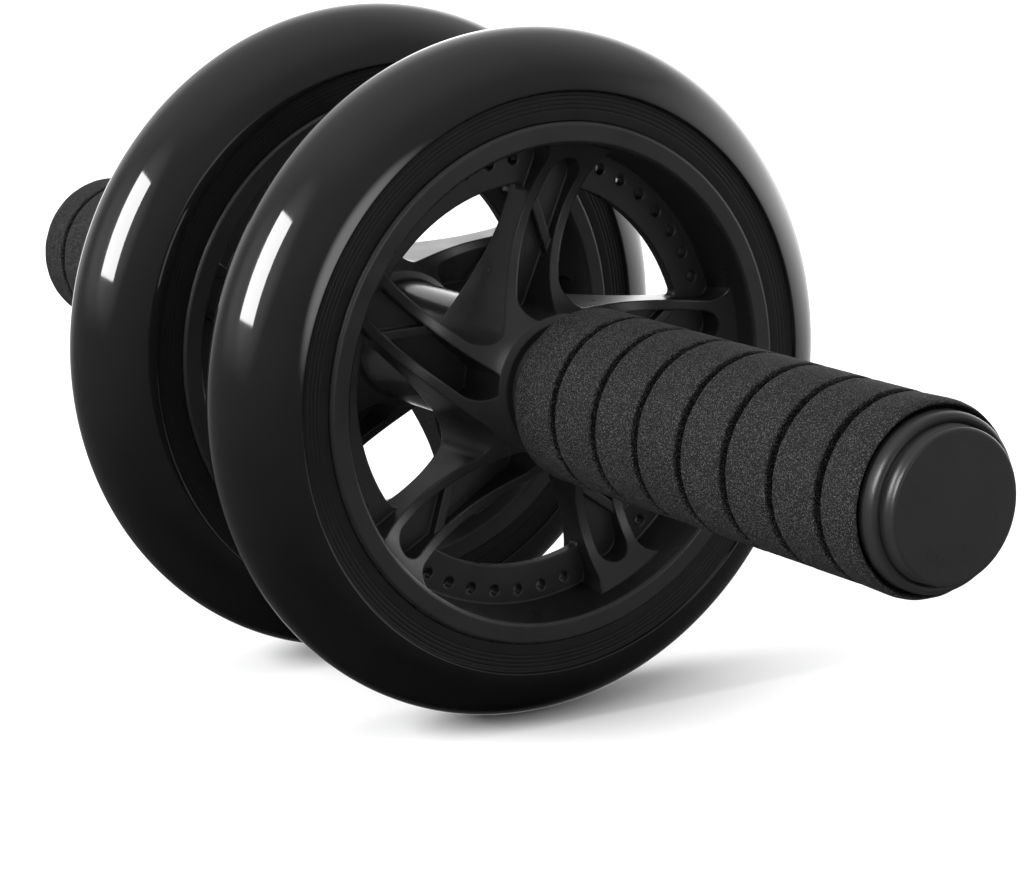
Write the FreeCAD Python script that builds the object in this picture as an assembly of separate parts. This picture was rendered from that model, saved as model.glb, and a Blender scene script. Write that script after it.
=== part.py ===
import FreeCAD, Part
import math
import os
from FreeCAD import Placement, Rotation, Vector

# Twin-wheel ab roller, in millimetres.
# Two spoked wheels with round tyres turn freely, side by side, on one steel axle tube.
# A foam-covered handle is pinned to each end of the axle and closed by a cap.
# The axle lies along Y and the roller travels along X.
# The origin is on the floor, under the middle of the axle, and the right-hand side is at -Y.

# Tyre
WHEEL_DIAMETER = 160.0
WHEEL_SPACING = 68.0            # between the mid planes of the two wheels
TREAD_SECTION_RADIUS = 16.2     # round section of the tread
CREASE_RISE = 3.2               # from the centre of that section out to the crease on each side
SIDEWALL_STEP = 0.9             # from the crease in to the flat sidewall ring
SIDEWALL_WIDTH = 7.0            # from the crease down to the lip of the rim
SIDEWALL_GROOVES = 4
SIDEWALL_GROOVE_SETBACK = 1.4   # from the crease in to the first groove
SIDEWALL_GROOVE_PITCH = 0.95
SIDEWALL_GROOVE_WIDTH = 0.4
SIDEWALL_GROOVE_DEPTH = 0.2
TYRE_FIT = 0.05                 # between the tyre and the rim that it is stretched over

# Rim barrel
LIP_PROUD = 1.0                 # the lip stands this far out of the sidewall ring
LIP_WIDTH = 5.0
LIP_THICKNESS = 3.0
LIP_ROUND = 0.6
SEAT_DEPTH = 2.5                # from the top of the lip down to the tyre's seat
BARREL_WALL = 3.7               # at the web, where the barrel is thickest

# Web with its ring of small holes
WEB_THICKNESS = 2.8
LEDGE_WIDTH = 9.0               # ring of web left standing inside the barrel
LEDGE_HOLE_DIAMETER = 2.6
LEDGE_HOLE_SETBACK = 3.3        # from the barrel in to the centres of the holes
LEDGE_HOLE_PITCH = 6.5
LEDGE_HOLES_PER_BAY = 7

# Twin spokes
SPOKE_COUNT = 5
SPOKE_OFFSET = 11.0             # the spokes aim past the axle by this much
CHANNEL_WIDTH = 7.8             # between the two ribs of a spoke
CHANNEL_END_WALL = 2.8          # from the end of the channel to the barrel
RIB_THICKNESS = 2.4
RIB_HEIGHT_AT_HUB = 15.5        # from the mid plane to the edge of the rib
RIB_HEIGHT_AT_WAIST = 3.9
RIB_HEIGHT_AT_RIM = 11.2
WINDOW_HUB_CORNER = 5.0
WINDOW_RIM_CORNER = 1.5
BAY_RIM_CORNER = 4.0
CROSS_RIB_PLACE = 34.0          # along the spoke, from the axle
CROSS_RIB_WIDTH = 2.2
CROSS_RIB_HEIGHT = 3.5          # from the mid plane
CROSS_RIB_ANGLE = 42.0          # between the cross rib and its spoke
RIGHT_WHEEL_TURN = -4.6         # degrees that each wheel stands turned at rest
LEFT_WHEEL_TURN = 5.3

# Hub
HUB_ROOT_RADIUS = 16.5
HUB_END_RADIUS = 15.0
HUB_HALF_LENGTH = 16.5          # from the mid plane to each end
HUB_BORE_CLEARANCE = 1.0        # around the axle, between the two bushes

# Axle, bushes, washers and retaining rings
AXLE_DIAMETER = 16.0
AXLE_WALL = 1.5
AXLE_SETBACK = 2.3              # from the end of the handle in to the end of the axle
BUSH_WALL = 1.95
BUSH_LENGTH = 12.0
BUSH_FLANGE_RADIUS = 13.0
BUSH_FLANGE_THICKNESS = 1.5
BUSH_FLANGE_PROUD = 0.4         # the flange stands this far out of its recess in the hub
RUNNING_CLEARANCE = 0.05        # between the axle and what turns on it
SEAT_CLEARANCE = 0.02           # between a pressed-in piece and its seat
END_PLAY = 0.2                  # along the axle, at each end of a wheel
WASHER_RADIUS = 13.0
WASHER_THICKNESS = 1.0
SPACER_RADIUS = 14.5
SPACER_EDGE = 0.8
RING_THICKNESS = 1.2
RING_RADIUS = 10.6
RING_OPENING = 70.0             # degrees left open between the ends of the ring
RING_GROOVE_DEPTH = 0.6

# Handles
HANDLE_LENGTH = 118.6           # of one foam grip
CORE_WALL = 4.95
CORE_COLLAR_RADIUS = 14.5       # of the short neck between the wheel and the flange
CORE_COLLAR_LENGTH = 6.0
CORE_FLANGE_RADIUS = 17.5
CORE_FLANGE_THICKNESS = 1.6
CORE_FIT = 0.05                 # between the axle and the core
RING_POCKET_CLEARANCE = 0.8     # around the retaining ring, inside the core
PIN_DIAMETER = 4.0
PIN_WALL = 0.8
PIN_SLIT = 0.8
PIN_TO_END = 28.6               # from the end of the grip in to the pin
PIN_SETBACK = 0.2               # from the skin of the core in to the ends of the pin
FOAM_RADIUS = 20.0
FOAM_FIT = 0.1                  # between the foam and the core
FOAM_GROOVES = 7
FOAM_FIRST_RING = 15.9          # from the start of the grip to the first groove
FOAM_LAST_RING = 11.02          # from the last groove to the end of the grip
FOAM_GROOVE_WIDTH = 2.2
FOAM_GROOVE_DEPTH = 1.1
FOAM_END_ROUND = 2.0

# End caps
CAP_RADIUS = 19.3
CAP_HEIGHT = 7.2                # from the end of the grip to the flat end
CAP_SHOULDER = 3.2              # from the end of the grip to the crown of the rounded shoulder
CAP_FLANK = 1.3                 # straight side of the shoulder
CAP_EDGE = 0.8
CAP_VALLEY_DEPTH = 0.8          # from the crown of the shoulder in to the foot of the disc
CAP_DISC_RADIUS = 16.15
CAP_DISC_ROUND = 1.5
CAP_PLUG_LENGTH = 14.0
CAP_PLUG_CHAMFER = 1.0

# Sizes that follow from the ones above
AXLE_HEIGHT = WHEEL_DIAMETER / 2
TREAD_CENTRE = AXLE_HEIGHT - TREAD_SECTION_RADIUS
CREASE_RADIUS = TREAD_CENTRE + CREASE_RISE
CREASE_HALF_WIDTH = math.sqrt(TREAD_SECTION_RADIUS ** 2 - CREASE_RISE ** 2)
SIDEWALL_HALF_WIDTH = CREASE_HALF_WIDTH - SIDEWALL_STEP
RIM_RADIUS = CREASE_RADIUS - SIDEWALL_WIDTH
LIP_HALF_WIDTH = SIDEWALL_HALF_WIDTH + LIP_PROUD
LIP_INNER_RADIUS = RIM_RADIUS - LIP_WIDTH
SEAT_RADIUS = RIM_RADIUS - SEAT_DEPTH
SEAT_HALF_WIDTH = LIP_HALF_WIDTH - LIP_THICKNESS
BARREL_RADIUS = SEAT_RADIUS - BARREL_WALL
LEDGE_RADIUS = BARREL_RADIUS - LEDGE_WIDTH
LEDGE_HOLE_CIRCLE = BARREL_RADIUS - LEDGE_HOLE_SETBACK
SPOKE_STEP = 360.0 / SPOKE_COUNT
LOW_RIB_SIDE = SPOKE_OFFSET - CHANNEL_WIDTH / 2 - RIB_THICKNESS
HIGH_RIB_SIDE = SPOKE_OFFSET + CHANNEL_WIDTH / 2 + RIB_THICKNESS
WAIST_RADIUS = (HUB_ROOT_RADIUS + BARREL_RADIUS) / 2
AXLE_RADIUS = AXLE_DIAMETER / 2
AXLE_BORE = AXLE_RADIUS - AXLE_WALL
BUSH_BORE = AXLE_RADIUS + RUNNING_CLEARANCE
BUSH_RADIUS = BUSH_BORE + BUSH_WALL
BUSH_SEAT_PLANE = HUB_HALF_LENGTH + BUSH_FLANGE_PROUD - BUSH_FLANGE_THICKNESS
RUN_OUT = BUSH_FLANGE_PROUD + END_PLAY
STACK_HALF_LENGTH = HUB_HALF_LENGTH + RUN_OUT + WASHER_THICKNESS
SPACER_HALF_LENGTH = WHEEL_SPACING / 2 - STACK_HALF_LENGTH
HANDLE_START = WHEEL_SPACING / 2 + STACK_HALF_LENGTH
GRIP_START = HANDLE_START + CORE_COLLAR_LENGTH + CORE_FLANGE_THICKNESS
GRIP_END = GRIP_START + HANDLE_LENGTH
AXLE_END = GRIP_END - AXLE_SETBACK
PIN_PLACE = GRIP_END - PIN_TO_END
FOAM_GROOVE_PITCH = (HANDLE_LENGTH - FOAM_FIRST_RING - FOAM_LAST_RING) / (FOAM_GROOVES - 1)
CORE_BORE = AXLE_RADIUS + CORE_FIT
CORE_RADIUS = CORE_BORE + CORE_WALL
RING_GROOVE_RADIUS = AXLE_RADIUS - RING_GROOVE_DEPTH
AXLE_LINE = Vector(0, 1, 0)
CENTRE = Vector(0, 0, 0)
SAME_POINT = 1e-6


# Drawing helpers

def at(radius, along):
    """A point of a turned section, by its radius and its place along the axle."""
    return Vector(radius, along, 0)


def outline(start, *steps):
    """A closed wire: each step is the next corner, or a (through, end) pair for an arc."""
    edges = []
    here = start
    for step in steps:
        if isinstance(step, tuple):
            through, end = step
            edges.append(Part.Arc(here, through, end).toShape())
        else:
            end = step
            edges.append(Part.LineSegment(here, end).toShape())
        here = end
    if not here.isEqual(start, SAME_POINT):
        edges.append(Part.LineSegment(here, start).toShape())
    return Part.Wire(edges)


def turned(start, *steps):
    """A solid turned about the axle line from half of its section."""
    return Part.Face(outline(start, *steps)).revolve(CENTRE, AXLE_LINE, 360)


def tube(inner_radius, outer_radius, low, high):
    """A plain tube on the axle line."""
    return turned(
        at(inner_radius, low), at(outer_radius, low), at(outer_radius, high), at(inner_radius, high))


def quarter_arc(start, corner, end):
    """The step that rounds off a square corner between two points of a section."""
    centre = start + end - corner
    through = centre + (corner - centre) * math.sqrt(0.5)
    return through, end


def plan(angle, along, across):
    """A point of the wheel's mid plane, by its place along a spoke direction and across it."""
    turn = math.radians(angle)
    x = along * math.cos(turn) - across * math.sin(turn)
    z = along * math.sin(turn) + across * math.cos(turn)
    return Vector(x, 0, z)


def upright(wire, half_height):
    """A prism on an outline in the mid plane, reaching as far to both sides of it."""
    prism = Part.Face(wire).extrude(AXLE_LINE * (2 * half_height))
    prism.translate(AXLE_LINE * -half_height)
    return prism


def rounded(prism, corner, radius):
    """Round the upright edge of a prism that stands on one corner of its outline."""
    def plan_distance(edge):
        middle = edge.CenterOfMass
        return math.hypot(middle.x - corner.x, middle.z - corner.z)
    return prism.makeFillet(radius, [min(prism.Edges, key=plan_distance)])


def one_solid(shape):
    """The only solid of a shape that has to be one piece."""
    solid, = shape.removeSplitter().Solids
    return solid


def spoke_angles():
    return [SPOKE_STEP * index for index in range(SPOKE_COUNT)]


# Tyre

def sidewall(side):
    """Section points of one grooved sidewall, from the lip of the rim out to the crease."""
    first = CREASE_RADIUS - SIDEWALL_GROOVE_SETBACK - SIDEWALL_GROOVE_PITCH * (SIDEWALL_GROOVES - 1)
    points = [at(RIM_RADIUS + TYRE_FIT, side * SIDEWALL_HALF_WIDTH)]
    for index in range(SIDEWALL_GROOVES):
        radius = first + SIDEWALL_GROOVE_PITCH * index
        points.append(at(radius - SIDEWALL_GROOVE_WIDTH / 2, side * SIDEWALL_HALF_WIDTH))
        points.append(at(radius, side * (SIDEWALL_HALF_WIDTH - SIDEWALL_GROOVE_DEPTH)))
        points.append(at(radius + SIDEWALL_GROOVE_WIDTH / 2, side * SIDEWALL_HALF_WIDTH))
    points.append(at(CREASE_RADIUS - SIDEWALL_STEP / 2, side * SIDEWALL_HALF_WIDTH))
    return points


def tyre():
    """Round-crowned tyre with grooved sidewalls, seated between the lips of the rim."""
    seat = SEAT_RADIUS + TYRE_FIT
    shoulder = RIM_RADIUS + TYRE_FIT
    seat_half = SEAT_HALF_WIDTH - TYRE_FIT
    tread = (at(AXLE_HEIGHT, 0), at(CREASE_RADIUS, -CREASE_HALF_WIDTH))
    return turned(
        at(seat, -seat_half), at(seat, seat_half), at(shoulder, seat_half),
        *sidewall(1), at(CREASE_RADIUS, CREASE_HALF_WIDTH), tread,
        *reversed(sidewall(-1)), at(shoulder, -seat_half))


# Rim

def lip(side):
    """Section points of one lip, from the tyre's seat over the top and down to the web."""
    edge = side * LIP_HALF_WIDTH
    below = side * (LIP_HALF_WIDTH - LIP_ROUND)
    return [
        at(SEAT_RADIUS, side * SEAT_HALF_WIDTH), at(RIM_RADIUS, side * SEAT_HALF_WIDTH),
        at(RIM_RADIUS, below), at(RIM_RADIUS - LIP_ROUND, edge),
        at(LIP_INNER_RADIUS + LIP_ROUND, edge), at(LIP_INNER_RADIUS, below),
        at(BARREL_RADIUS, side * WEB_THICKNESS / 2)]


def barrel():
    """Drafted barrel of the rim, with the two lips that hold the tyre."""
    return turned(*lip(1), *reversed(lip(-1)))


def bay(angle, radius, hub_corner, rim_corner, half_height):
    """Prism that fills the space between two neighbouring spokes, out to a radius."""
    step = math.radians(SPOKE_STEP)
    apex_along = (math.cos(step) * HIGH_RIB_SIDE - LOW_RIB_SIDE) / math.sin(step)
    apex = plan(angle, apex_along, HIGH_RIB_SIDE)
    near = plan(angle, math.sqrt(radius ** 2 - HIGH_RIB_SIDE ** 2), HIGH_RIB_SIDE)
    far = plan(angle + SPOKE_STEP, math.sqrt(radius ** 2 - LOW_RIB_SIDE ** 2), LOW_RIB_SIDE)
    through = (near + far).normalize() * radius
    prism = upright(outline(apex, near, (through, far)), half_height)
    prism = rounded(prism, apex, hub_corner)
    prism = rounded(prism, near, rim_corner)
    return rounded(prism, far, rim_corner)


def ledge_holes(angle):
    """The row of small holes through the ledge of one bay."""
    near = math.degrees(math.asin(HIGH_RIB_SIDE / LEDGE_HOLE_CIRCLE))
    far = SPOKE_STEP + math.degrees(math.asin(LOW_RIB_SIDE / LEDGE_HOLE_CIRCLE))
    step = math.degrees(LEDGE_HOLE_PITCH / LEDGE_HOLE_CIRCLE)
    holes = []
    for index in range(LEDGE_HOLES_PER_BAY):
        turn = (near + far) / 2 + step * (index - (LEDGE_HOLES_PER_BAY - 1) / 2)
        hole = tube_hole(LEDGE_HOLE_DIAMETER / 2, WEB_THICKNESS)
        hole.translate(plan(angle + turn, LEDGE_HOLE_CIRCLE, 0))
        holes.append(hole)
    return holes


def tube_hole(radius, half_height):
    """A round cutter along the axle direction, through the mid plane."""
    return Part.makeCylinder(radius, 2 * half_height, AXLE_LINE * -half_height, AXLE_LINE)


def web():
    """Mid-plane web: the floors of the channels and the holed ledge round each window."""
    disc = tube_hole(SEAT_RADIUS - BARREL_WALL / 2, WEB_THICKNESS / 2)
    cutters = []
    for angle in spoke_angles():
        cutters.append(bay(angle, LEDGE_RADIUS, WINDOW_HUB_CORNER, WINDOW_RIM_CORNER, WEB_THICKNESS))
        cutters.extend(ledge_holes(angle))
    return disc.cut(cutters)


def channel(angle):
    """Round-ended cutter between the two ribs of a spoke."""
    half = CHANNEL_WIDTH / 2
    start = math.sqrt(HUB_ROOT_RADIUS ** 2 - SPOKE_OFFSET ** 2)
    end = math.sqrt((BARREL_RADIUS - CHANNEL_END_WALL) ** 2 - SPOKE_OFFSET ** 2)
    wire = outline(
        plan(angle, start + half, SPOKE_OFFSET - half), plan(angle, end - half, SPOKE_OFFSET - half),
        (plan(angle, end, SPOKE_OFFSET), plan(angle, end - half, SPOKE_OFFSET + half)),
        plan(angle, start + half, SPOKE_OFFSET + half),
        (plan(angle, start, SPOKE_OFFSET), plan(angle, start + half, SPOKE_OFFSET - half)))
    return upright(wire, LIP_HALF_WIDTH)


def ribs():
    """All the ribs: a dished disc, high at the hub and the rim, cut out round the spokes."""
    inner = HUB_END_RADIUS - HUB_BORE_CLEARANCE
    outer = SEAT_RADIUS - BARREL_WALL / 2
    dish = turned(
        at(inner, -RIB_HEIGHT_AT_HUB), at(inner, RIB_HEIGHT_AT_HUB), at(HUB_ROOT_RADIUS, RIB_HEIGHT_AT_HUB),
        (at(WAIST_RADIUS, RIB_HEIGHT_AT_WAIST), at(outer, RIB_HEIGHT_AT_RIM)),
        at(outer, -RIB_HEIGHT_AT_RIM),
        (at(WAIST_RADIUS, -RIB_HEIGHT_AT_WAIST), at(HUB_ROOT_RADIUS, -RIB_HEIGHT_AT_HUB)))
    cutters = []
    for angle in spoke_angles():
        cutters.append(bay(angle, LIP_INNER_RADIUS, WINDOW_HUB_CORNER, BAY_RIM_CORNER, LIP_HALF_WIDTH))
        cutters.append(channel(angle))
    return dish.cut(cutters)


def cross_rib(angle):
    """Low slanting rib across the channel of one spoke, on both faces of the web."""
    slant = angle + CROSS_RIB_ANGLE
    half_length = (CHANNEL_WIDTH + RIB_THICKNESS) / 2 / math.sin(math.radians(CROSS_RIB_ANGLE))
    half_width = CROSS_RIB_WIDTH / 2
    wire = outline(
        plan(slant, -half_length, -half_width), plan(slant, half_length, -half_width),
        plan(slant, half_length, half_width), plan(slant, -half_length, half_width))
    bar = upright(wire, CROSS_RIB_HEIGHT)
    bar.translate(plan(angle, CROSS_RIB_PLACE, SPOKE_OFFSET))
    return bar


def hub():
    """Hub, tapered a little towards both ends."""
    return turned(
        at(AXLE_RADIUS, -HUB_HALF_LENGTH), at(HUB_END_RADIUS, -HUB_HALF_LENGTH),
        at(HUB_ROOT_RADIUS, -RIB_HEIGHT_AT_HUB), at(HUB_ROOT_RADIUS, RIB_HEIGHT_AT_HUB),
        at(HUB_END_RADIUS, HUB_HALF_LENGTH), at(AXLE_RADIUS, HUB_HALF_LENGTH))


def bush_seat(side):
    """Section points of the seat and the flange recess for one bush, from the mouth inwards."""
    bore = AXLE_RADIUS + HUB_BORE_CLEARANCE
    seat = BUSH_RADIUS + SEAT_CLEARANCE
    recess = BUSH_FLANGE_RADIUS + SEAT_CLEARANCE
    mouth = side * HUB_HALF_LENGTH
    floor = side * BUSH_SEAT_PLANE
    shoulder = side * (BUSH_SEAT_PLANE - BUSH_LENGTH)
    return [
        at(0, mouth), at(recess, mouth), at(recess, floor),
        at(seat, floor), at(seat, shoulder), at(bore, shoulder)]


def hub_bore():
    """Cutter for the hub's bore, with a seat for a bush at each end."""
    return turned(*bush_seat(-1), *reversed(bush_seat(1)))


def rim():
    """Moulded rim: barrel, web, twin spokes and hub in one piece."""
    cross_ribs = [cross_rib(angle) for angle in spoke_angles()]
    whole = barrel().fuse([web(), ribs(), hub()] + cross_ribs)
    return one_solid(whole.cut(hub_bore()))


# Axle and what runs on it

def bush(side):
    """Flanged bush in one end of the hub."""
    face = side * (BUSH_SEAT_PLANE + BUSH_FLANGE_THICKNESS)
    seat = side * BUSH_SEAT_PLANE
    end = side * (BUSH_SEAT_PLANE - BUSH_LENGTH)
    return turned(
        at(BUSH_BORE, face), at(BUSH_FLANGE_RADIUS, face), at(BUSH_FLANGE_RADIUS, seat),
        at(BUSH_RADIUS, seat), at(BUSH_RADIUS, end), at(BUSH_BORE, end))


def axle_tube():
    """Steel tube with a groove for each retaining ring and a cross hole for each core pin."""
    axle = tube(AXLE_BORE, AXLE_RADIUS, -AXLE_END, AXLE_END)
    for side in (-1, 1):
        low, high = sorted((side * HANDLE_START, side * (HANDLE_START + RING_THICKNESS)))
        axle = axle.cut(tube(RING_GROOVE_RADIUS, AXLE_DIAMETER, low, high))
        axle = axle.cut(pin_hole(side))
    return one_solid(axle)


def pin_hole(side):
    """Upright cutter for a core pin."""
    foot = Vector(0, side * PIN_PLACE, -FOAM_RADIUS)
    return Part.makeCylinder(PIN_DIAMETER / 2 + SEAT_CLEARANCE, 2 * FOAM_RADIUS, foot)


def centre_spacer():
    """Sleeve that keeps the two wheels apart."""
    inner = AXLE_RADIUS + RUNNING_CLEARANCE
    edge = SPACER_RADIUS - SPACER_EDGE
    land = SPACER_HALF_LENGTH - SPACER_EDGE
    return turned(
        at(inner, -SPACER_HALF_LENGTH), at(edge, -SPACER_HALF_LENGTH), at(SPACER_RADIUS, -land),
        at(SPACER_RADIUS, land), at(edge, SPACER_HALF_LENGTH), at(inner, SPACER_HALF_LENGTH))


def inner_washer():
    """Thrust washer between the right wheel and the spacer."""
    return tube(BUSH_BORE, WASHER_RADIUS, -SPACER_HALF_LENGTH - WASHER_THICKNESS, -SPACER_HALF_LENGTH)


def outer_washer():
    """Thrust washer between the right wheel and its handle."""
    return tube(BUSH_BORE, WASHER_RADIUS, -HANDLE_START, -HANDLE_START + WASHER_THICKNESS)


def retaining_ring():
    """Open spring ring in the groove of the axle, just outside the washer."""
    ring = tube(RING_GROOVE_RADIUS, RING_RADIUS, -HANDLE_START - RING_THICKNESS, -HANDLE_START)
    half = math.radians(RING_OPENING / 2)
    reach = RING_RADIUS / math.cos(half)
    wedge = Part.Face(outline(
        CENTRE, Vector(-reach * math.sin(half), 0, -reach * math.cos(half)),
        Vector(reach * math.sin(half), 0, -reach * math.cos(half))))
    return one_solid(ring.cut(wedge.extrude(AXLE_LINE * -2 * HANDLE_START)))


# Handle

def handle_core():
    """Moulded sleeve on the axle, with a neck, a flange and a pocket for the retaining ring."""
    pocket = RING_RADIUS + RING_POCKET_CLEARANCE
    pocket_floor = HANDLE_START + RING_THICKNESS + RUNNING_CLEARANCE
    flange = HANDLE_START + CORE_COLLAR_LENGTH
    core = turned(
        at(pocket, -HANDLE_START), at(CORE_COLLAR_RADIUS, -HANDLE_START),
        at(CORE_COLLAR_RADIUS, -flange), at(CORE_FLANGE_RADIUS, -flange),
        at(CORE_FLANGE_RADIUS, -GRIP_START), at(CORE_RADIUS, -GRIP_START),
        at(CORE_RADIUS, -GRIP_END), at(CORE_BORE, -GRIP_END),
        at(CORE_BORE, -pocket_floor), at(pocket, -pocket_floor))
    return one_solid(core.cut(pin_hole(-1)))


def core_pin():
    """Slit spring pin that locks the core to the axle, under the foam."""
    half = math.sqrt(CORE_RADIUS ** 2 - (PIN_DIAMETER / 2) ** 2) - PIN_SETBACK
    foot = Vector(0, -PIN_PLACE, -half)
    pin = Part.makeCylinder(PIN_DIAMETER / 2, 2 * half, foot)
    bore = Part.makeCylinder(PIN_DIAMETER / 2 - PIN_WALL, 2 * half, foot)
    slit = Part.makeBox(PIN_DIAMETER, PIN_SLIT, 2 * half, foot - AXLE_LINE * (PIN_SLIT / 2))
    return one_solid(pin.cut([bore, slit]))


def foam_grip():
    """Foam sleeve with rounded ends and a row of grooves between its rings."""
    inner = CORE_RADIUS + FOAM_FIT
    shoulder = FOAM_RADIUS - FOAM_END_ROUND
    start = -GRIP_START
    end = -GRIP_END
    steps = [at(shoulder, start)]
    steps.append(quarter_arc(steps[-1], at(FOAM_RADIUS, start), at(FOAM_RADIUS, start - FOAM_END_ROUND)))
    for index in range(FOAM_GROOVES):
        middle = start - FOAM_FIRST_RING - FOAM_GROOVE_PITCH * index
        steps.append(at(FOAM_RADIUS, middle + FOAM_GROOVE_WIDTH / 2))
        bottom = at(FOAM_RADIUS - FOAM_GROOVE_DEPTH, middle)
        steps.append((bottom, at(FOAM_RADIUS, middle - FOAM_GROOVE_WIDTH / 2)))
    last = at(FOAM_RADIUS, end + FOAM_END_ROUND)
    steps.append(last)
    steps.append(quarter_arc(last, at(FOAM_RADIUS, end), at(shoulder, end)))
    return turned(at(inner, start), *steps, at(inner, end))


def end_cap():
    """Cap with a rounded shoulder, a raised disc and a plug that grips inside the axle."""
    back = -GRIP_END
    face = back - CAP_HEIGHT
    plug = AXLE_BORE - SEAT_CLEARANCE
    plug_end = back + CAP_PLUG_LENGTH
    crown = at((CAP_RADIUS + CAP_DISC_RADIUS) / 2, back - CAP_SHOULDER)
    valley = at(CAP_DISC_RADIUS, back - CAP_SHOULDER + CAP_VALLEY_DEPTH)
    disc_edge = at(CAP_DISC_RADIUS, face + CAP_DISC_ROUND)
    return turned(
        at(0, plug_end), at(plug - CAP_PLUG_CHAMFER, plug_end), at(plug, plug_end - CAP_PLUG_CHAMFER),
        at(plug, back), at(CAP_RADIUS - CAP_EDGE, back), at(CAP_RADIUS, back - CAP_EDGE),
        at(CAP_RADIUS, back - CAP_FLANK), (crown, valley), disc_edge,
        quarter_arc(disc_edge, at(CAP_DISC_RADIUS, face), at(CAP_DISC_RADIUS - CAP_DISC_ROUND, face)),
        at(0, face))


# Assembly

def write(name, shape, placement=Placement()):
    """Write one piece, set at the height of the axle."""
    piece = shape.copy()
    piece.Placement = placement.multiply(piece.Placement)
    piece.translate(Vector(0, 0, AXLE_HEIGHT))
    piece.exportStep(os.path.join("parts", name + ".step"))


def main():
    os.makedirs("parts", exist_ok=True)
    write("axle_tube", axle_tube())
    write("centre_spacer", centre_spacer())
    handed = {
        "inner_washer": inner_washer(),
        "outer_washer": outer_washer(),
        "retaining_ring": retaining_ring(),
        "handle_core": handle_core(),
        "core_pin": core_pin(),
        "foam_grip": foam_grip(),
        "end_cap": end_cap(),
    }
    wheel_rim = rim()
    wheel_tyre = tyre()
    half_turn = Rotation(Vector(0, 0, 1), 180)
    sides = (("right", -1, Rotation(), RIGHT_WHEEL_TURN), ("left", 1, half_turn, LEFT_WHEEL_TURN))
    for name, side, facing, turn in sides:
        for piece, shape in handed.items():
            write(name + "_" + piece, shape, Placement(CENTRE, facing))
        middle = AXLE_LINE * (side * WHEEL_SPACING / 2)
        write(name + "_rim", wheel_rim, Placement(middle, Rotation(AXLE_LINE, -turn)))
        write(name + "_tyre", wheel_tyre, Placement(middle, Rotation()))
        write(name + "_outer_bush", bush(side), Placement(middle, Rotation()))
        write(name + "_inner_bush", bush(-side), Placement(middle, Rotation()))


main()
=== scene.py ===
# %% [markdown]
# # A twin-wheel ab roller
#
# Two glossy tyres on satin spoked rims turn on one axle, between two foam handles.
# Nearly all of it is black, so the picture lives on differences of gloss: wet-looking tyres,
# satin plastic, and foam that gives back no highlight at all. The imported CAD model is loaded
# first, and everything made here sits on it, in metres. Wheel size, axle height and the ends
# of grips and caps are read from the model, so that the new pieces stay in place on it.

# %% Load the frame
import math
import bmesh
import bpy
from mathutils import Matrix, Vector, noise


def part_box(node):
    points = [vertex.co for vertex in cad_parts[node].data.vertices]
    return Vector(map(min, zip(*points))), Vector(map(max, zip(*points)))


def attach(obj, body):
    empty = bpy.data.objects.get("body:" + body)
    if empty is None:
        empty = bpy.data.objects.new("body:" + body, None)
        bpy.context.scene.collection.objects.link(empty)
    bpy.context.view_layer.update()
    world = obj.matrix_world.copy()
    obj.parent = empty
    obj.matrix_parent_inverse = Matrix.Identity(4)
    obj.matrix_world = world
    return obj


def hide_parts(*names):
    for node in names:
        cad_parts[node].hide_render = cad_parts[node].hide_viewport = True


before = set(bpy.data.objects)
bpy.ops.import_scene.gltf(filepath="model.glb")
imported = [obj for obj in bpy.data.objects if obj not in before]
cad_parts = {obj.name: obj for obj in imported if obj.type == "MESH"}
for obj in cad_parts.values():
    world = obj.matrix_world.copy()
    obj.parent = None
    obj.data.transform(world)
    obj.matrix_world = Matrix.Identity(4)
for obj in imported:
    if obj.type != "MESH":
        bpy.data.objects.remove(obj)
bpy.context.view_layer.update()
MM = 0.001
SIDES = {"right": -1, "left": 1}
tyre_low, tyre_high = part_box("right_tyre")
WHEEL_RADIUS = (tyre_high.z - tyre_low.z) / 2
AXLE_HEIGHT = (tyre_high.z + tyre_low.z) / 2
WHEEL_OFFSET = -(tyre_high.y + tyre_low.y) / 2
print("nodes:", len(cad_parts), "wheel radius:", WHEEL_RADIUS, "axle height:", AXLE_HEIGHT)

# %% [markdown]
# ## The camera
#
# The photograph was taken with a long lens from about 0.8 m, a little above the axle and
# well round to the end of one handle. A camera could be framed by eye, but then the far wheel
# would come out too large or too small. Placing it by its distance from the axle keeps the
# perspective, and one direction of view gives its aim.

# %% Camera
CAMERA_FROM_AXLE = Vector((-0.4046, -0.6470, 0.1516))
CAMERA_LOOKS = Vector((0.53434, 0.81524, -0.22334))
LENS_MM = 114.63
SENSOR_MM = 36.0

camera_data = bpy.data.cameras.new("camera")
camera_data.lens = LENS_MM
camera_data.sensor_width = SENSOR_MM
camera = bpy.data.objects.new("camera", camera_data)
camera.location = Vector((0, 0, AXLE_HEIGHT)) + CAMERA_FROM_AXLE
camera.rotation_mode = "QUATERNION"
camera.rotation_quaternion = CAMERA_LOOKS.to_track_quat("-Z", "Y")
bpy.context.scene.collection.objects.link(camera)
bpy.context.scene.camera = camera
print("camera at", tuple(round(c, 4) for c in camera.location))

# %% [markdown]
# ## Helpers for textures
#
# Every finish below is one Principled shader with a few textures plugged in. Image textures
# would need an unwrap of each piece. Noise in the object's own coordinates needs none, and a
# grain of half a millimetre stays half a millimetre on every piece.

# %% Texture helpers
def new_material(name):
    """An empty material with one Principled shader, and its node tree."""
    material = bpy.data.materials.new(name)
    material.use_nodes = True
    return material, material.node_tree, material.node_tree.nodes["Principled BSDF"]


def object_coordinates(tree):
    """Places on the piece in metres, which move with it."""
    return tree.nodes.new("ShaderNodeTexCoord").outputs["Object"]


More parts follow.
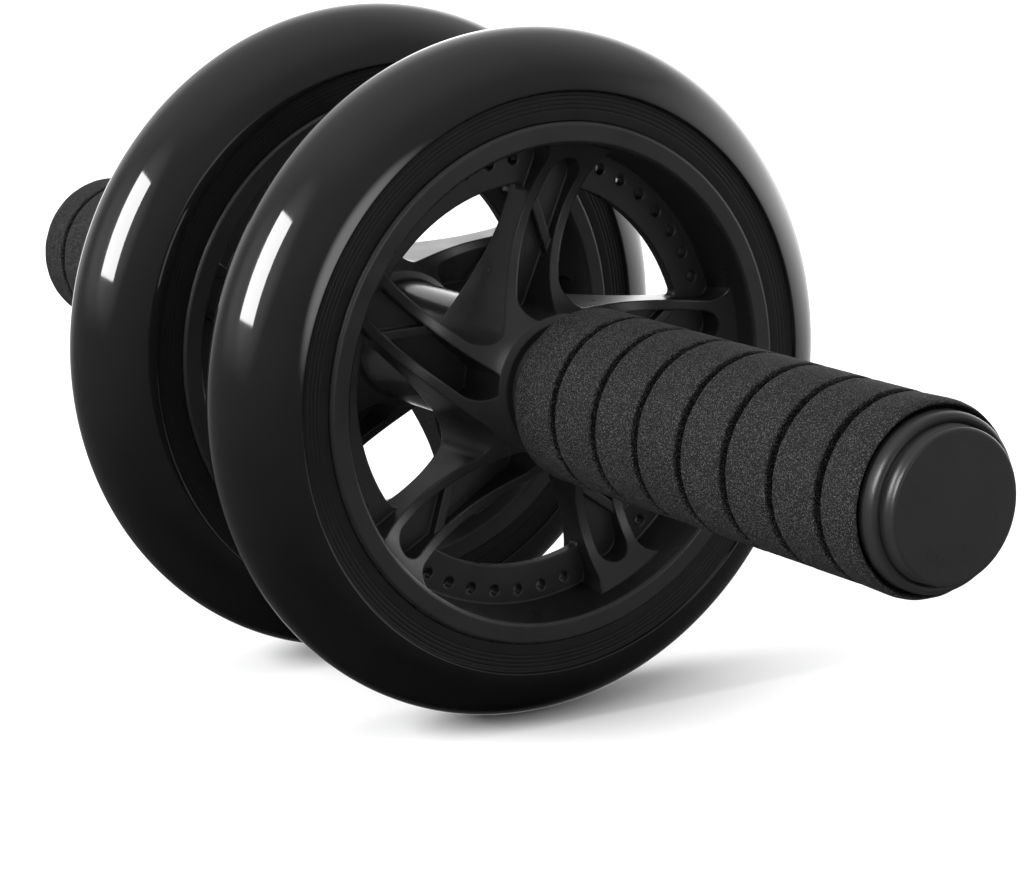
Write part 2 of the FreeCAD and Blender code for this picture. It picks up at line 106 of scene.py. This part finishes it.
def grain(tree, place, size, detail=2.0):
    """Noise whose lumps are about as large as size, in metres."""
    node = tree.nodes.new("ShaderNodeTexNoise")
    node.inputs["Scale"].default_value = 1.0 / size
    node.inputs["Detail"].default_value = detail
    tree.links.new(place, node.inputs["Vector"])
    return node.outputs["Fac"]


def remap(tree, value, low, high, from_low=0.3, from_high=0.7):
    """Stretch part of a value's range, by default the middle of a noise, to a new range."""
    node = tree.nodes.new("ShaderNodeMapRange")
    node.inputs["From Min"].default_value = from_low
    node.inputs["From Max"].default_value = from_high
    node.inputs["To Min"].default_value = low
    node.inputs["To Max"].default_value = high
    tree.links.new(value, node.inputs["Value"])
    return node.outputs["Result"]

# %% [markdown]
# ## Helpers for colour and relief
#
# All the blacks here are greys close to zero, so one helper blends two greys. Relief comes in
# two kinds. Bump follows a height, for grain too fine to model. The Bevel node bends the normal
# near an edge, so that moulded ribs catch light as if each edge had a small radius. A Bevel
# modifier could round them too, but it would have to change the CAD mesh.

# %% Colour and relief helpers
BEVEL_SAMPLES = 6
COOL_DARK = 1.04
COOL_LIGHT = 1.03


def product(tree, one, other):
    """One value times another."""
    node = tree.nodes.new("ShaderNodeMath")
    node.operation = "MULTIPLY"
    tree.links.new(one, node.inputs[0])
    tree.links.new(other, node.inputs[1])
    return node.outputs["Value"]


def two_greys(tree, value, dark, light):
    """A ramp from one nearly neutral grey to another, both a trace cooler than neutral."""
    node = tree.nodes.new("ShaderNodeMix")
    node.data_type = "RGBA"
    node.inputs["A"].default_value = (dark, dark, dark * COOL_DARK, 1)
    node.inputs["B"].default_value = (light, light, light * COOL_LIGHT, 1)
    tree.links.new(value, node.inputs["Factor"])
    return node.outputs["Result"]


def soft_edges(tree, radius):
    """A normal that turns smoothly over every edge, within a radius of it."""
    node = tree.nodes.new("ShaderNodeBevel")
    node.samples = BEVEL_SAMPLES
    node.inputs["Radius"].default_value = radius
    return node.outputs["Normal"]


def bumped(tree, height, depth, strength=1.0, normal=None):
    """A normal that follows a height between 0 and 1, where 1 stands depth metres proud."""
    node = tree.nodes.new("ShaderNodeBump")
    node.inputs["Strength"].default_value = strength
    node.inputs["Distance"].default_value = depth
    tree.links.new(height, node.inputs["Height"])
    if normal is not None:
        tree.links.new(normal, node.inputs["Normal"])
    return node.outputs["Normal"]

# %% [markdown]
# ## Tyre rubber
#
# The tread is polished, and the flat ring beside the rim is duller. One black with one
# roughness would look like paint. The tread's gloss breaks up a little where hands and floors
# have touched it, so its roughness wanders slowly, and a very shallow ripple keeps its long
# highlight from looking ruled. The ring is rougher, with fine pores.

# %% Tyre finishes
finishes = {}


def tyre_gloss():
    """Polished black rubber of the tread."""
    material, tree, shader = new_material("tyre_gloss")
    place = object_coordinates(tree)
    smear = grain(tree, place, size=18 * MM)
    ripple = grain(tree, place, size=5 * MM)
    tree.links.new(two_greys(tree, smear, dark=0.003, light=0.005), shader.inputs["Base Color"])
    tree.links.new(remap(tree, smear, low=0.04, high=0.08), shader.inputs["Roughness"])
    tree.links.new(bumped(tree, ripple, depth=0.006 * MM), shader.inputs["Normal"])
    return material


def tyre_sidewall():
    """Duller rubber of the grooved sidewall ring."""
    material, tree, shader = new_material("tyre_sidewall")
    place = object_coordinates(tree)
    cloud = grain(tree, place, size=6 * MM)
    pores = grain(tree, place, size=0.5 * MM)
    tree.links.new(two_greys(tree, cloud, dark=0.003, light=0.005), shader.inputs["Base Color"])
    tree.links.new(remap(tree, cloud, low=0.40, high=0.52), shader.inputs["Roughness"])
    shader.inputs["Specular IOR Level"].default_value = 0.22
    tree.links.new(bumped(tree, pores, depth=0.02 * MM), shader.inputs["Normal"])
    return material


finishes["tyre_gloss"] = tyre_gloss()
finishes["tyre_sidewall"] = tyre_sidewall()
print("tyre finishes:", ", ".join(finishes))

# %% [markdown]
# ## Moulded plastic
#
# Rims, caps and cores are satin mouldings, with the fine grain that a spark-eroded mould
# leaves. The spacer between the wheels is glossier, and bushes and washers are nylon. Each
# could be a material built by hand, but they differ only in grey, roughness, edge radius and
# strength of reflection, so one function makes them all.

# %% Plastic finishes
def moulded_plastic(name, greys, roughness, edge=0.4 * MM, gloss=0.5):
    """Plastic with the fine grain of its mould and small radii on its edges."""
    material, tree, shader = new_material(name)
    place = object_coordinates(tree)
    cloud = grain(tree, place, size=9 * MM, detail=3.0)
    spark_grain = grain(tree, place, size=0.45 * MM)
    rounded = soft_edges(tree, radius=edge)
    tree.links.new(two_greys(tree, cloud, *greys), shader.inputs["Base Color"])
    tree.links.new(remap(tree, cloud, *roughness), shader.inputs["Roughness"])
    shader.inputs["Specular IOR Level"].default_value = gloss
    tree.links.new(bumped(tree, spark_grain, depth=0.024 * MM, normal=rounded), shader.inputs["Normal"])
    return material


finishes["rim"] = moulded_plastic(
    "rim_satin", greys=(0.008, 0.010), roughness=(0.27, 0.34), edge=0.7 * MM, gloss=0.55)
finishes["cap"] = moulded_plastic(
    "cap_satin", greys=(0.013, 0.016), roughness=(0.27, 0.34), edge=0.3 * MM, gloss=0.27)
finishes["core"] = moulded_plastic("core_satin", greys=(0.008, 0.011), roughness=(0.35, 0.45))
finishes["spacer"] = moulded_plastic("spacer_gloss", greys=(0.005, 0.007), roughness=(0.12, 0.18))
finishes["nylon"] = moulded_plastic("nylon", greys=(0.50, 0.58), roughness=(0.40, 0.50))
finishes["black_nylon"] = moulded_plastic("black_nylon", greys=(0.012, 0.016), roughness=(0.40, 0.50))
print("finishes so far:", ", ".join(finishes))

# %% [markdown]
# ## Foam
#
# The grips are closed-cell foam: a field of tiny cells, of which a few catch the light and
# most are dark. Plain noise looks like stone. A Voronoi texture gives round cells, and a noise
# multiplied over it picks out clumps of them. The distance from the middle of a cell serves as
# the bump as well, so that each light speck lies in a small pit.

# %% Foam finish
FOAM_CELL = 0.28 * MM


def foam():
    """Black closed-cell foam with fine light specks."""
    material, tree, shader = new_material("grip_foam")
    place = object_coordinates(tree)
    cells = tree.nodes.new("ShaderNodeTexVoronoi")
    cells.inputs["Scale"].default_value = 1 / FOAM_CELL
    tree.links.new(place, cells.inputs["Vector"])
    distance = cells.outputs["Distance"]
    cell_light = remap(tree, distance, low=1.0, high=0.0, from_low=0.1, from_high=0.6)
    lumps = grain(tree, place, size=0.40 * MM, detail=3.0)
    clumps = remap(tree, lumps, low=0.1, high=1.0, from_low=0.43, from_high=0.62)
    speck = product(tree, cell_light, clumps)
    tree.links.new(two_greys(tree, speck, dark=0.003, light=0.075), shader.inputs["Base Color"])
    shader.inputs["Roughness"].default_value = 0.85
    shader.inputs["Specular IOR Level"].default_value = 0.2
    tree.links.new(bumped(tree, distance, depth=0.12 * MM, strength=0.8), shader.inputs["Normal"])
    return material


finishes["foam"] = foam()
print("foam cells of", FOAM_CELL / MM, "mm")

# %% [markdown]
# ## Steel
#
# The axle tube is drawn, which leaves fine lines along it. Noise squeezed in one direction
# draws them: scaling the coordinates down along the axle stretches each lump into a line.
# The rings and pins are small enough to share this steel.

# %% Steel finish
ALONG_AXLE_STRETCH = (1, 0.02, 1)


def drawn_steel():
    """Bright steel with fine lines along the axle."""
    material, tree, shader = new_material("drawn_steel")
    stretch = tree.nodes.new("ShaderNodeMapping")
    stretch.inputs["Scale"].default_value = ALONG_AXLE_STRETCH
    tree.links.new(object_coordinates(tree), stretch.inputs["Vector"])
    lines = grain(tree, stretch.outputs["Vector"], size=0.3 * MM, detail=4.0)
    shader.inputs["Metallic"].default_value = 1.0
    tree.links.new(two_greys(tree, lines, dark=0.42, light=0.60), shader.inputs["Base Color"])
    tree.links.new(remap(tree, lines, low=0.22, high=0.36), shader.inputs["Roughness"])
    return material


finishes["steel"] = drawn_steel()
print("all finishes:", ", ".join(finishes))

# %% [markdown]
# ## Sections with rounded corners
#
# Tyres, grips and caps are bodies of revolution. A Screw modifier could turn them, but the
# corners of the section would still need rounding. So a section is listed corner by corner,
# each with the distance over which it is rounded, and a short curve is laid into each corner.

# %% Rounded sections
ROUND_STEPS = 5
MOST_OF_A_SIDE = 0.49


def rounded_section(corners):
    """Points (radius, along) of a closed section from (radius, along, rounding) corners."""
    points = []
    count = len(corners)
    for index, (radius, along, rounding) in enumerate(corners):
        here = Vector((radius, along))
        if rounding <= 0:
            points.append(here)
            continue
        before = Vector(corners[index - 1][:2]) - here
        after = Vector(corners[(index + 1) % count][:2]) - here
        start = here + before.normalized() * min(rounding, before.length * MOST_OF_A_SIDE)
        end = here + after.normalized() * min(rounding, after.length * MOST_OF_A_SIDE)
        for step in range(ROUND_STEPS + 1):
            share = step / ROUND_STEPS
            points.append(start.lerp(here, share).lerp(here.lerp(end, share), share))
    return points

# %% [markdown]
# ## The lathe
#
# The lathe turns a section round the axle line into one closed mesh. Sections run towards +Y
# along the outside, which makes the faces point outwards. Far more steps than the CAD mesh has
# keep long highlights unbroken. Where a section starts on the axle line, the lathe leaves a
# stack of points there, and they are merged.

# %% The lathe
LATHE_STEPS = 288
SAME_POINT = 0.001 * MM


def close_on_axle(mesh):
    """Join the points that the lathe left on top of each other on the axle line."""
    shape = bmesh.new()
    shape.from_mesh(mesh)
    bmesh.ops.remove_doubles(shape, verts=shape.verts, dist=SAME_POINT)
    shape.to_mesh(mesh)
    shape.free()


def lathe(name, section):
    """A smooth closed mesh: the section turned about the axle line."""
    vertices = []
    for step in range(LATHE_STEPS):
        turn = 2 * math.pi * step / LATHE_STEPS
        for radius, along in section:
            vertices.append((radius * math.cos(turn), along, AXLE_HEIGHT + radius * math.sin(turn)))
    count = len(section)
    faces = []
    for step in range(LATHE_STEPS):
        following = (step + 1) % LATHE_STEPS
        for index in range(count):
            beside = (index + 1) % count
            faces.append((
                step * count + index, step * count + beside,
                following * count + beside, following * count + index))
    mesh = bpy.data.meshes.new(name)
    mesh.from_pydata(vertices, [], faces)
    if min(radius for radius, along in section) == 0:
        close_on_axle(mesh)
    mesh.validate()
    mesh.shade_smooth()
    piece = bpy.data.objects.new(name, mesh)
    bpy.context.scene.collection.objects.link(piece)
    return piece


def facing(sign, section):
    """The section as it is for the left side, or mirrored for the right side."""
    if sign > 0:
        return section
    return [(radius, -along) for radius, along in reversed(section)]

# %% [markdown]
# ## The tyre's section
#
# A tyre on the roller is one round arc of tread from crease to crease. Inside each crease a
# flat ring steps in and meets the lip of the rim, with four hair-fine grooves round its outer
# half. The CAD tyre has the same section in fewer steps. It is turned again here because a
# bright strip of softbox runs along the tread and would show every facet.

# %% Tyre sizes
TREAD_SECTION_RADIUS = 16.2 * MM
CREASE_RISE = 3.2 * MM
SIDEWALL_STEP = 0.9 * MM
SIDEWALL_WIDTH = 7.0 * MM
SIDEWALL_GROOVES = 4
SIDEWALL_GROOVE_SETBACK = 1.4 * MM
SIDEWALL_GROOVE_PITCH = 0.95 * MM
SIDEWALL_GROOVE_WIDTH = 0.4 * MM
SIDEWALL_GROOVE_DEPTH = 0.09 * MM
SEAT_DEPTH = 2.5 * MM
SEAT_SETBACK = 2.0 * MM
TYRE_FIT = 0.05 * MM
TREAD_STEPS = 56
SOFT_EDGE = 0.25 * MM
GROOVE_EDGE = 0.08 * MM

tread_centre = WHEEL_RADIUS - TREAD_SECTION_RADIUS
crease_radius = tread_centre + CREASE_RISE
crease_half_width = math.sqrt(TREAD_SECTION_RADIUS ** 2 - CREASE_RISE ** 2)
sidewall_half_width = crease_half_width - SIDEWALL_STEP
lip_radius = crease_radius - SIDEWALL_WIDTH
print("crease at", crease_radius / MM, "mm, lip of the rim at", lip_radius / MM, "mm")

# %% Tyre section
def sidewall_corners(side):
    """Corners of one grooved sidewall ring, from the crease down to the lip of the rim."""
    face = side * sidewall_half_width
    floor = side * (sidewall_half_width - SIDEWALL_GROOVE_DEPTH)
    half = SIDEWALL_GROOVE_WIDTH / 2
    corners = [(crease_radius - SIDEWALL_STEP / 2, face, SOFT_EDGE)]
    for index in range(SIDEWALL_GROOVES):
        radius = crease_radius - SIDEWALL_GROOVE_SETBACK - SIDEWALL_GROOVE_PITCH * index
        corners.append((radius + half, face, GROOVE_EDGE))
        corners.append((radius, floor, GROOVE_EDGE))
        corners.append((radius - half, face, GROOVE_EDGE))
    corners.append((lip_radius + TYRE_FIT, face, SOFT_EDGE))
    return corners


def tread_arc():
    """Corners of the tread from the crease at -Y over the crown to the crease at +Y."""
    limit = math.acos(CREASE_RISE / TREAD_SECTION_RADIUS)
    arc = []
    for step in range(TREAD_STEPS + 1):
        lean = limit * (2 * step / TREAD_STEPS - 1)
        arc.append((
            tread_centre + TREAD_SECTION_RADIUS * math.cos(lean),
            TREAD_SECTION_RADIUS * math.sin(lean),
            SOFT_EDGE if step in (0, TREAD_STEPS) else 0))
    return arc


def tyre_section():
    """The whole section of a tyre, closed through its seat in the rim."""
    seat = lip_radius - SEAT_DEPTH + TYRE_FIT
    seat_half = sidewall_half_width - SEAT_SETBACK - TYRE_FIT
    shoulder = lip_radius + TYRE_FIT
    return rounded_section([
        *reversed(sidewall_corners(-1)), *tread_arc(), *sidewall_corners(1),
        (shoulder, seat_half, 0), (seat, seat_half, 0),
        (seat, -seat_half, 0), (shoulder, -seat_half, 0)])

# %% [markdown]
# ## Both tyres
#
# Tread and sidewall ring are one piece of rubber with two finishes. Two objects would leave a
# seam between them. Instead the mesh has two material slots, and each face takes one by its
# distance from the axle, with the change hidden in the small step inside the crease.

# %% Build both tyres
GLOSS_ENDS_IN_STEP = 0.4


def build_tyre(side, along):
    """Turn one tyre, share out its two finishes and let it ride on its wheel."""
    section = [(radius, place + along) for radius, place in tyre_section()]
    tyre = lathe(side + "_tyre_turned", section)
    tyre.data.materials.append(finishes["tyre_gloss"])
    tyre.data.materials.append(finishes["tyre_sidewall"])
    inside_crease = crease_radius - SIDEWALL_STEP * GLOSS_ENDS_IN_STEP
    for face in tyre.data.polygons:
        middle = face.center
        radius = math.hypot(middle.x, middle.z - AXLE_HEIGHT)
        face.material_index = 1 if radius < inside_crease else 0
    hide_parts(side + "_tyre")
    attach(tyre, side + "_wheel")
    return tyre


for side, sign in SIDES.items():
    tyre = build_tyre(side, sign * WHEEL_OFFSET)
    print(tyre.name, len(tyre.data.polygons), "faces")

# %% [markdown]
# ## The grip's section
#
# Each grip is one foam sleeve, cut by narrow black grooves into eight rings with soft edges.
# Its outer end closes in round the cap as a soft lip. The grooves could be painted dark, but
# they show in the outline, so they are cut into the section.

# %% Grip section
GRIP_INNER_RADIUS = 13.1 * MM
GRIP_GROOVES = 7
GRIP_FIRST_RING = 15.9 * MM
GRIP_GROOVE_PITCH = 15.28 * MM
GRIP_GROOVE_WIDTH = 2.1 * MM
GRIP_GROOVE_DEPTH = 3.2 * MM
GRIP_GROOVE_ROUND = 0.3 * MM
GRIP_RING_EDGE = 0.7 * MM
GRIP_END_ROUND = 2.4 * MM
GRIP_LIP_FLARE = 0.3 * MM
GRIP_LIP_TURN = 1.4 * MM
GRIP_LIP_REACH = 0.9 * MM
GRIP_LIP_TOP = 19.6 * MM
GRIP_LIP_INNER = 18.9 * MM
GRIP_LIP_FLOOR = 2.2 * MM


def grip_section(radius, start, end):
    """Section of a grip from the end by the wheel out to the end by the cap, towards +Y."""
    floor = radius - GRIP_GROOVE_DEPTH
    half = GRIP_GROOVE_WIDTH / 2
    corners = [(GRIP_INNER_RADIUS, start, 0), (radius, start, GRIP_END_ROUND)]
    for index in range(GRIP_GROOVES):
        middle = start + GRIP_FIRST_RING + GRIP_GROOVE_PITCH * index
        corners.append((radius, middle - half, GRIP_RING_EDGE))
        corners.append((floor, middle - half, GRIP_GROOVE_ROUND))
        corners.append((floor, middle + half, GRIP_GROOVE_ROUND))
        corners.append((radius, middle + half, GRIP_RING_EDGE))
    corners.append((radius + GRIP_LIP_FLARE, end - GRIP_LIP_TURN, GRIP_END_ROUND))
    corners.append((GRIP_LIP_TOP, end + GRIP_LIP_REACH, GRIP_END_ROUND))
    corners.append((GRIP_LIP_INNER, end, GRIP_GROOVE_ROUND))
    corners.append((GRIP_LIP_INNER, end - GRIP_LIP_FLOOR, 0))
    corners.append((GRIP_INNER_RADIUS, end - GRIP_LIP_FLOOR, 0))
    return rounded_section(corners)

# %% [markdown]
# ## Both grips
#
# Real foam is never quite true. A Displace modifier could roughen the sleeve, but would push
# its bore as well. So after turning, each point outside the bore is moved in by up to a
# fifth of a millimetre, by a slow noise, which breaks up the outline as real foam does.

# %% Build both grips
GRIP_LUMP_SIZE = 3.0 * MM
GRIP_LUMP_HEIGHT = 0.10 * MM


def build_grip(side, sign):
    """Turn one foam sleeve, make it slightly uneven and let it ride on the axle."""
    low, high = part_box(side + "_foam_grip")
    start, end = sorted((abs(low.y), abs(high.y)))
    section = grip_section((high.x - low.x) / 2, start, end)
    grip = lathe(side + "_foam_sleeve", facing(sign, section))
    for vertex in grip.data.vertices:
        outward = Vector((vertex.co.x, 0, vertex.co.z - AXLE_HEIGHT))
        if outward.length > GRIP_INNER_RADIUS + GRIP_LUMP_HEIGHT:
            lump = noise.noise(vertex.co / GRIP_LUMP_SIZE)
            vertex.co += outward.normalized() * (lump - 1) * GRIP_LUMP_HEIGHT
    grip.data.materials.append(finishes["foam"])
    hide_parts(side + "_foam_grip")
    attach(grip, "axle")
    return grip


for side, sign in SIDES.items():
    grip = build_grip(side, sign)
    print(grip.name, len(grip.data.vertices), "points")

# %% [markdown]
# ## End caps
#
# A cap plugs the end of each handle. A rounded shoulder stands just inside the soft end of the
# foam, with a shadow gap between them. The flat disc rises out of it on a straight wall, with a
# small radius at its edge that catches the softbox. The face is crowned by a tenth of a
# millimetre, because a truly flat face would reflect as one even patch.

# %% Cap section
CAP_PLUG_RADIUS = 6.4 * MM
CAP_BACK = 1.8 * MM
CAP_SHOULDER_RADIUS = 18.2 * MM
CAP_SHOULDER_RISE = 4.0 * MM
CAP_SHOULDER_ROUND = 2.2 * MM
CAP_VALLEY_RADIUS = 16.0 * MM
CAP_VALLEY_RISE = 2.0 * MM
CAP_DISC_RADIUS = 15.7 * MM
CAP_DISC_ROUND = 1.2 * MM
CAP_CROWN = 0.12 * MM
CAP_FACE_RINGS = 6


def cap_section(plug_end, grip_end, face):
    """Section of a cap from its plug out to the middle of its face, towards +Y."""
    back = grip_end - CAP_BACK
    crown = grip_end + CAP_SHOULDER_RISE
    corners = [
        (0, plug_end, 0), (CAP_PLUG_RADIUS, plug_end, 0), (CAP_PLUG_RADIUS, back, 0),
        (CAP_SHOULDER_RADIUS, back, CAP_SHOULDER_ROUND),
        (CAP_SHOULDER_RADIUS, crown, CAP_SHOULDER_ROUND),
        (CAP_VALLEY_RADIUS, crown, CAP_SHOULDER_ROUND),
        (CAP_VALLEY_RADIUS, grip_end + CAP_VALLEY_RISE, 0),
        (CAP_DISC_RADIUS, face - CAP_CROWN, CAP_DISC_ROUND)]
    flat = CAP_DISC_RADIUS - CAP_DISC_ROUND
    for ring in range(CAP_FACE_RINGS + 1):
        share = 1 - ring / CAP_FACE_RINGS
        corners.append((flat * share, face - CAP_CROWN * share ** 2, 0))
    return rounded_section(corners)

# %% Build both caps
def build_cap(side, sign):
    """Turn one cap between its plug and its face and let it ride on the axle."""
    low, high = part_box(side + "_end_cap")
    plug_end, face = sorted((abs(low.y), abs(high.y)))
    grip_low, grip_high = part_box(side + "_foam_grip")
    section = cap_section(plug_end, max(abs(grip_low.y), abs(grip_high.y)), face)
    cap = lathe(side + "_cap_turned", facing(sign, section))
    cap.data.materials.append(finishes["cap"])
    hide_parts(side + "_end_cap")
    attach(cap, "axle")
    return cap


for side, sign in SIDES.items():
    cap = build_cap(side, sign)
    print(cap.name, len(cap.data.vertices), "points")

# %% [markdown]
# ## Finishes on the CAD pieces
#
# Rims, cores and the small parts on the axle have their true shape in the CAD model already.
# They could be rebuilt here, but that would only copy it. Each keeps its mesh and gets a finish.

# %% Dress the CAD nodes
NODE_FINISHES = {
    "rim": "rim", "outer_bush": "nylon", "inner_bush": "nylon", "outer_washer": "black_nylon",
    "inner_washer": "black_nylon", "retaining_ring": "steel", "core_pin": "steel",
    "handle_core": "core",
}


def dress(node, finish):
    """Give a CAD node its finish and leave its mesh alone."""
    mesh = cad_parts[node].data
    mesh.materials.clear()
    mesh.materials.append(finishes[finish])


dress("axle_tube", "steel")
dress("centre_spacer", "spacer")
for side in SIDES:
    for piece, finish in NODE_FINISHES.items():
        dress(side + "_" + piece, finish)
print("dressed", 2 + len(SIDES) * len(NODE_FINISHES), "CAD nodes")

# %% [markdown]
# ## The floor
#
# The roller stands on a plain pale floor, one large square. A black glossy object mirrors the
# floor it stands on, and a white floor would turn the lower half of each tyre grey. So the
# floor takes shadows but keeps out of reflections.

# %% Floor
FLOOR_HALF = 6.0
FLOOR_ROUGHNESS = 0.9
PALE_GREY = (0.91, 0.91, 0.915, 1)

floor_mesh = bpy.data.meshes.new("floor")
floor_mesh.from_pydata(
    [(-FLOOR_HALF, -FLOOR_HALF, 0), (FLOOR_HALF, -FLOOR_HALF, 0),
     (FLOOR_HALF, FLOOR_HALF, 0), (-FLOOR_HALF, FLOOR_HALF, 0)], [], [(0, 1, 2, 3)])
floor = bpy.data.objects.new("floor", floor_mesh)
bpy.context.scene.collection.objects.link(floor)
floor_material, _, floor_shader = new_material("pale_floor")
floor_shader.inputs["Base Color"].default_value = PALE_GREY
floor_shader.inputs["Roughness"].default_value = FLOOR_ROUGHNESS
floor_mesh.materials.append(floor_material)
floor.visible_glossy = False
print("floor", 2 * FLOOR_HALF, "m wide")

# %% [markdown]
# ## Lights
#
# One softbox on the left draws the bright strip on each tyre. A wide one overhead lights the
# foam and softens the shadows. It is left out of reflections, where it would whiten the top of
# the tyres. Area lights are used because a point light would give a dot instead of a strip.

# %% Lights
def softbox(name, direction, distance, width, height, power, in_reflections=True):
    """A rectangular light that stands off in a direction and faces the axle."""
    data = bpy.data.lights.new(name, "AREA")
    data.shape = "RECTANGLE"
    data.size = width
    data.size_y = height
    data.energy = power
    light = bpy.data.objects.new(name, data)
    aim = Vector(direction).normalized()
    light.location = Vector((0, 0, AXLE_HEIGHT)) + aim * distance
    light.rotation_mode = "QUATERNION"
    light.rotation_quaternion = (-aim).to_track_quat("-Z", "Y")
    light.visible_camera = False
    light.visible_glossy = in_reflections
    bpy.context.scene.collection.objects.link(light)
    print(name, power, "W")


softbox("left_strip", direction=(-0.90, 0.12, 0.46), distance=1.3, width=0.60, height=0.66, power=26.0)
softbox(
    "overhead", direction=(0.05, -0.1, 1.0), distance=2.2, width=2.6, height=2.6, power=34.0,
    in_reflections=False)

# %% [markdown]
# ## Two worlds
#
# A black glossy object shows its surroundings more than itself. In a studio these are walls,
# cards and cloths. Modelled ones would stand in the way of cameras on the other sides, so the
# world itself is shaped. An even white world lights the floor and everything matt. A second
# one, which only reflections see, is a sum of soft patches, each round one direction.

# %% Patches of light
world = bpy.data.worlds.new("studio")
bpy.context.scene.world = world
world.use_nodes = True
world_tree = world.node_tree
ray_direction = world_tree.nodes.new("ShaderNodeTexCoord").outputs["Generated"]
split = world_tree.nodes.new("ShaderNodeSeparateXYZ")
world_tree.links.new(ray_direction, split.inputs[0])
up = split.outputs["Z"]


def patch(axis, edge, strength):
    """A soft patch of light round an axis, ending where the cosine to the axis falls to edge."""
    towards = world_tree.nodes.new("ShaderNodeVectorMath")
    towards.operation = "DOT_PRODUCT"
    towards.inputs[1].default_value = Vector(axis).normalized()
    world_tree.links.new(ray_direction, towards.inputs[0])
    glow = remap(
        world_tree, towards.outputs["Value"], low=0.0, high=strength, from_low=edge, from_high=1.0)
    glow.node.interpolation_type = "SMOOTHSTEP"
    return glow


def fading(value, low, high, from_low, from_high):
    """A patch that fades from low to high as the direction rises between two heights."""
    return product(world_tree, value, remap(world_tree, up, low, high, from_low, from_high))


def total(one, other):
    """One light plus another."""
    node = world_tree.nodes.new("ShaderNodeMath")
    node.operation = "ADD"
    world_tree.links.new(one, node.inputs[0])
    world_tree.links.new(other, node.inputs[1])
    return node.outputs["Value"]

# %% [markdown]
# ## What the reflections see
#
# The room is dim, a little brighter upwards. A pale wall on the right lightens the tyres' right
# sides. The backdrop behind the roller draws their bright outlines, because rubber seen at a
# glancing angle mirrors strongly. A glow surrounds the softbox, and a small white card in front
# puts a streak beside each crease.

# %% Reflected surroundings
surroundings = remap(world_tree, up, low=0.0, high=0.36, from_low=-0.8, from_high=0.45)
right_wall = patch(axis=(0.97, 0.22, 0.05), edge=0.40, strength=2.7)
right_wall = fading(right_wall, low=1.0, high=0.15, from_low=0.10, from_high=0.50)
right_wall = fading(right_wall, low=0.0, high=1.0, from_low=-0.35, from_high=0.05)
backdrop = patch(axis=(0.38, 0.92, 0.05), edge=0.68, strength=0.60)
backdrop = fading(backdrop, low=0.0, high=1.0, from_low=-0.35, from_high=0.05)
left_window = patch(axis=(-0.85, 0.48, 0.24), edge=0.86, strength=0.60)
left_window = fading(left_window, low=0.0, high=1.0, from_low=-0.05, from_high=0.15)
patches = {
    "ceiling": patch(axis=(0.05, 0.20, 0.98), edge=0.40, strength=0.28),
    "right wall": right_wall,
    "backdrop": backdrop,
    "middle of the backdrop": patch(axis=(0.50, 0.85, -0.08), edge=0.92, strength=1.50),
    "left window": left_window,
    "softbox glow": patch(axis=(-0.90, 0.02, 0.44), edge=0.86, strength=0.90),
    "front card": patch(axis=(0.09, -0.98, 0.10), edge=0.962, strength=3.60),
}
for light in patches.values():
    surroundings = total(surroundings, light)
print("patches:", ", ".join(patches))

# %% [markdown]
# ## Choosing between the worlds
#
# The Light Path node says whether a ray is a reflection, and a Mix Shader picks the world for
# it. The Standard view transform keeps the white of the floor white.

# %% Join the two worlds
EVEN_LIGHT = 0.93
WHITE = (1.0, 1.0, 1.0, 1)

even = world_tree.nodes["Background"]
even.inputs["Color"].default_value = WHITE
even.inputs["Strength"].default_value = EVEN_LIGHT
shaped = world_tree.nodes.new("ShaderNodeBackground")
shaped.inputs["Color"].default_value = WHITE
world_tree.links.new(surroundings, shaped.inputs["Strength"])
chosen = world_tree.nodes.new("ShaderNodeMixShader")
rays = world_tree.nodes.new("ShaderNodeLightPath")
world_tree.links.new(rays.outputs["Is Glossy Ray"], chosen.inputs["Fac"])
world_tree.links.new(even.outputs["Background"], chosen.inputs[1])
world_tree.links.new(shaped.outputs["Background"], chosen.inputs[2])
world_tree.links.new(chosen.outputs["Shader"], world_tree.nodes["World Output"].inputs["Surface"])
bpy.context.scene.view_settings.view_transform = "Standard"
print("world nodes:", len(world_tree.nodes))
